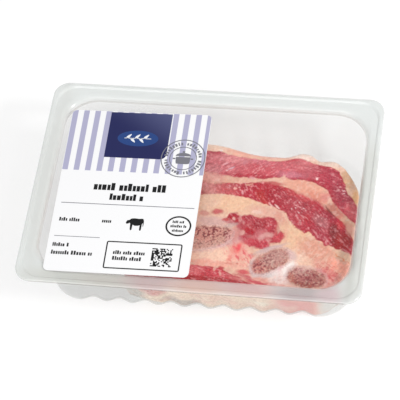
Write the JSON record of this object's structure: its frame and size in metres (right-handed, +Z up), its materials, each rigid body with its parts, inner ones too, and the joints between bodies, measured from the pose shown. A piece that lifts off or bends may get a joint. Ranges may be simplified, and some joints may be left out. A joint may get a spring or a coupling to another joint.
{
  "type": "meat tray pack",
  "caption": "Film-sealed frosted plastic tray with fluted walls, a printed paper label and one slab of raw beef with fat seams and sawn rib bones inside.",
  "frame": {"origin": "centre of the tray's footprint, on the surface that the tray stands on", "axes": "+X along the tray's long side, towards the end that the meat fills; +Y across the tray, away from the side that the meat leans on; +Z up out of the film"},
  "size_m": [0.26, 0.18, 0.06],
  "materials": {
    "tray": "frosted translucent, thermoformed, satin inside",
    "film": "clear and glossy",
    "label": "smooth coated paper, printed",
    "fat": "moist raw fat, satin",
    "lean": "moist raw lean meat, glossy in spots",
    "bone": "sawn porous bone, matt"
  },
  "bodies": {
    "root": {"tray": "tray", "film": "film", "label": "label", "meat_fat_rim": "fat", "meat_lean_outer": "lean", "meat_fat_seam": "fat", "meat_lean_middle": "lean", "meat_fat_body": "fat", "meat_lean_eye": "lean", "meat_lean_lower": "lean", "bone_left": "bone", "bone_middle": "bone", "bone_right": "bone"}
  },
  "joints": []
}
